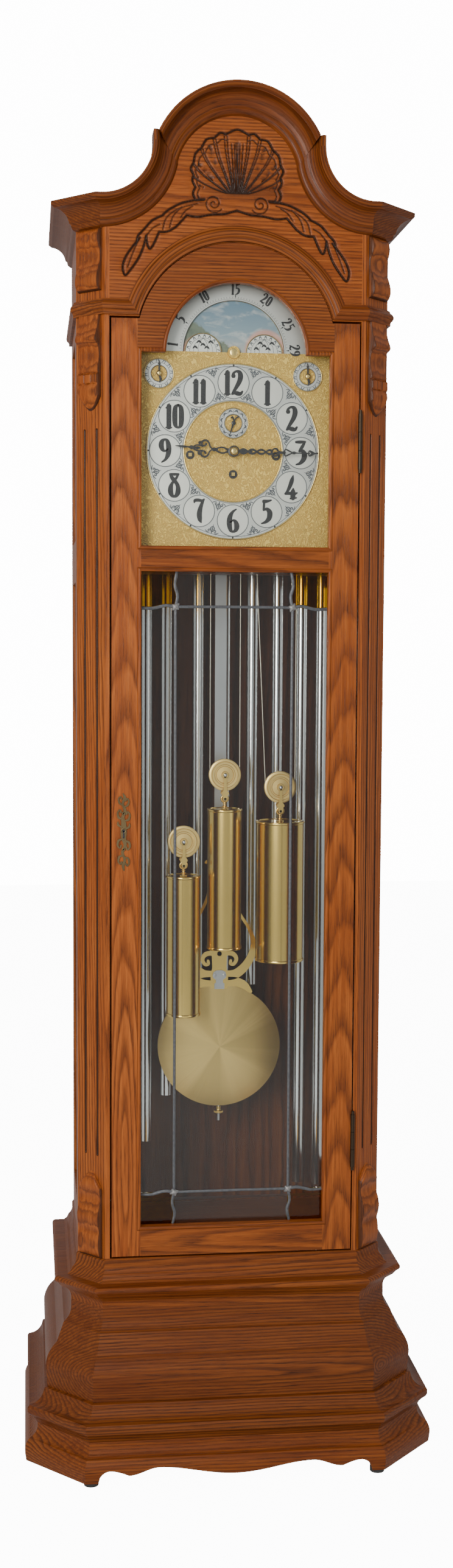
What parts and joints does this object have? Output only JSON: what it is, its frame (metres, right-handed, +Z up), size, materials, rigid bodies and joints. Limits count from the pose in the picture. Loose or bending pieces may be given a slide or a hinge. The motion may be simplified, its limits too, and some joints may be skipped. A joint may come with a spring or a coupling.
{
  "type": "longcase clock",
  "caption": "Tall floor clock: oak case with canted corners, arched carved hood, glazed door, moon dial, cable-hung weights, lyre pendulum and tubular chimes.",
  "frame": {"origin": "on the floor under the middle of the case's bounding box", "axes": "+Z up, front (dial and door) towards -Y, +X to the right seen from the front"},
  "size_m": [0.704, 0.414, 2.294],
  "materials": {
    "oak": "satin",
    "back_board_wood": "matte",
    "clear_glass": "polished",
    "amber_glass": "textured",
    "brass": "satin",
    "silvered": "satin",
    "nickel": "polished",
    "wire": "satin",
    "lead_came": "satin",
    "dark_bronze": "satin",
    "antique_brass": "antique",
    "black_steel": "satin",
    "moon_paint": "satin",
    "glide": "matte"
  },
  "bodies": {
    "case": {"floor_glides": "glide", "plinth_skirt": "oak", "lower_base_moulding": "oak", "bombe_panels": "oak", "upper_base_moulding": "oak", "bottom_board": "oak", "left_corner_post": "oak", "right_corner_post": "oak", "left_side_frame": "oak", "right_side_frame": "oak", "side_glasses": "clear_glass", "back_panels": "back_board_wood", "post_carvings": "oak", "waist_moulding": "oak", "arch_moulding": "oak", "fascia_board": "oak", "crown_arch_moulding": "oak", "crown_side_mouldings": "oak", "top_board": "oak", "seat_board": "oak", "dial_plate": "brass", "dial_rings": "silvered", "movement_frame": "brass", "suspension_post": "brass", "tube_rack": "black_steel", "chime_tubes": "nickel", "case_hinge_leaves": "dark_bronze", "left_cable": "wire", "centre_cable": "wire", "right_cable": "wire"},
    "door": {"door_left_stile": "oak", "door_right_stile": "oak", "door_bottom_rail": "oak", "door_middle_rail": "oak", "door_arched_rail": "oak", "clear_panes": "clear_glass", "amber_panes": "amber_glass", "came_lattice": "lead_came", "escutcheon": "antique_brass", "door_hinge_leaves": "dark_bronze"},
    "pendulum": {"pendulum_stick": "nickel", "pendulum_lyre": "brass", "pendulum_bob": "brass"},
    "hour_hand": {"hour_hand": "black_steel"},
    "minute_hand": {"minute_hand": "black_steel"},
    "second_hand": {"second_hand": "black_steel"},
    "moon_disc": {"moon_disc": "moon_paint"},
    "chime_selector": {"chime_selector": "black_steel"},
    "silence_selector": {"silence_selector": "black_steel"},
    "chime_hammers": {"chime_hammers": "brass"},
    "rating_nut": {"rating_nut": "brass"},
    "left_weight": {"left_weight": "brass"},
    "centre_weight": {"centre_weight": "brass"},
    "right_weight": {"right_weight": "brass"},
    "left_pulley": {"left_pulley": "brass"},
    "centre_pulley": {"centre_pulley": "brass"},
    "right_pulley": {"right_pulley": "brass"},
    "left_drum": {"left_drum": "brass"},
    "centre_drum": {"centre_drum": "brass"},
    "right_drum": {"right_drum": "brass"}
  },
  "joints": [
    {"name": "door_hinge", "type": "hinge", "parent": "case", "child": "door", "pos_m": [0.206, -0.1215, 1.2], "axis": [0, 0, 1], "range_deg": [0, 110]},
    {"name": "minute_turn", "type": "hinge", "parent": "case", "child": "minute_hand", "pos_m": [0, -0.09, 1.716], "axis": [0, 1, 0], "continuous": true},
    {"name": "hour_turn", "type": "hinge", "parent": "case", "child": "hour_hand", "pos_m": [0, -0.086, 1.716], "axis": [0, 1, 0], "continuous": true},
    {"name": "second_turn", "type": "hinge", "parent": "case", "child": "second_hand", "pos_m": [0, -0.08, 1.763], "axis": [0, 1, 0], "continuous": true},
    {"name": "moon_turn", "type": "hinge", "parent": "case", "child": "moon_disc", "pos_m": [0, -0.073, 1.879], "axis": [0, 1, 0], "continuous": true},
    {"name": "chime_select", "type": "hinge", "parent": "case", "child": "chime_selector", "pos_m": [0.124, -0.08, 1.842], "axis": [0, 1, 0], "range_deg": [-90, 90]},
    {"name": "silence_select", "type": "hinge", "parent": "case", "child": "silence_selector", "pos_m": [-0.124, -0.08, 1.842], "axis": [0, 1, 0], "range_deg": [0, 90]},
    {"name": "hammer_strike", "type": "hinge", "parent": "case", "child": "chime_hammers", "pos_m": [0, 0.112, 1.89], "axis": [1, 0, 0], "range_deg": [-12, 3], "stiffness_Nm_per_rad": 0.6},
    {"name": "pendulum_swing", "type": "hinge", "parent": "case", "child": "pendulum", "pos_m": [0, 0.097, 1.8], "axis": [0, 1, 0], "range_deg": [-3, 3]},
    {"name": "rating_nut_turn", "type": "hinge", "parent": "pendulum", "child": "rating_nut", "pos_m": [0, 0.097, 0.55], "axis": [0, 0, 1], "continuous": true},
    {"name": "left_weight_fall", "type": "slide", "parent": "case", "child": "left_weight", "axis": [0, 0, 1], "range_m": [-0.38, 0.42], "deforming": ["left_cable"]},
    {"name": "centre_weight_fall", "type": "slide", "parent": "case", "child": "centre_weight", "axis": [0, 0, 1], "range_m": [-0.5, 0.31], "deforming": ["centre_cable"]},
    {"name": "right_weight_fall", "type": "slide", "parent": "case", "child": "right_weight", "axis": [0, 0, 1], "range_m": [-0.48, 0.33], "deforming": ["right_cable"]},
    {"name": "left_pulley_turn", "type": "hinge", "parent": "left_weight", "child": "left_pulley", "pos_m": [-0.072, 0.022, 1.052], "axis": [0, 1, 0], "range_deg": [-1300, 1300]},
    {"name": "left_drum_turn", "type": "hinge", "parent": "case", "child": "left_drum", "pos_m": [-0.072, 0.005, 1.71], "axis": [0, 1, 0], "range_deg": [-2600, 2600]},
    {"name": "centre_pulley_turn", "type": "hinge", "parent": "centre_weight", "child": "centre_pulley", "pos_m": [0, 0.022, 1.169], "axis": [0, 1, 0], "range_deg": [-1300, 1300]},
    {"name": "centre_drum_turn", "type": "hinge", "parent": "case", "child": "centre_drum", "pos_m": [0, 0.005, 1.679], "axis": [0, 1, 0], "range_deg": [-2600, 2600]},
    {"name": "right_pulley_turn", "type": "hinge", "parent": "right_weight", "child": "right_pulley", "pos_m": [0.098, 0.022, 1.147], "axis": [0, 1, 0], "range_deg": [-1300, 1300]},
    {"name": "right_drum_turn", "type": "hinge", "parent": "case", "child": "right_drum", "pos_m": [0.072, 0.005, 1.71], "axis": [0, 1, 0], "range_deg": [-2600, 2600]}
  ],
  "couplings": [
    {"joint": "hour_turn", "follows": "minute_turn", "ratio": 0.083333},
    {"joint": "left_pulley_turn", "follows": "left_weight_fall", "rad_per_m": 38.314},
    {"joint": "left_drum_turn", "follows": "left_weight_fall", "rad_per_m": 76.628},
    {"joint": "centre_pulley_turn", "follows": "centre_weight_fall", "rad_per_m": -38.314},
    {"joint": "centre_drum_turn", "follows": "centre_weight_fall", "rad_per_m": -76.628},
    {"joint": "right_pulley_turn", "follows": "right_weight_fall", "rad_per_m": 38.314},
    {"joint": "right_drum_turn", "follows": "right_weight_fall", "rad_per_m": 76.628}
  ]
}
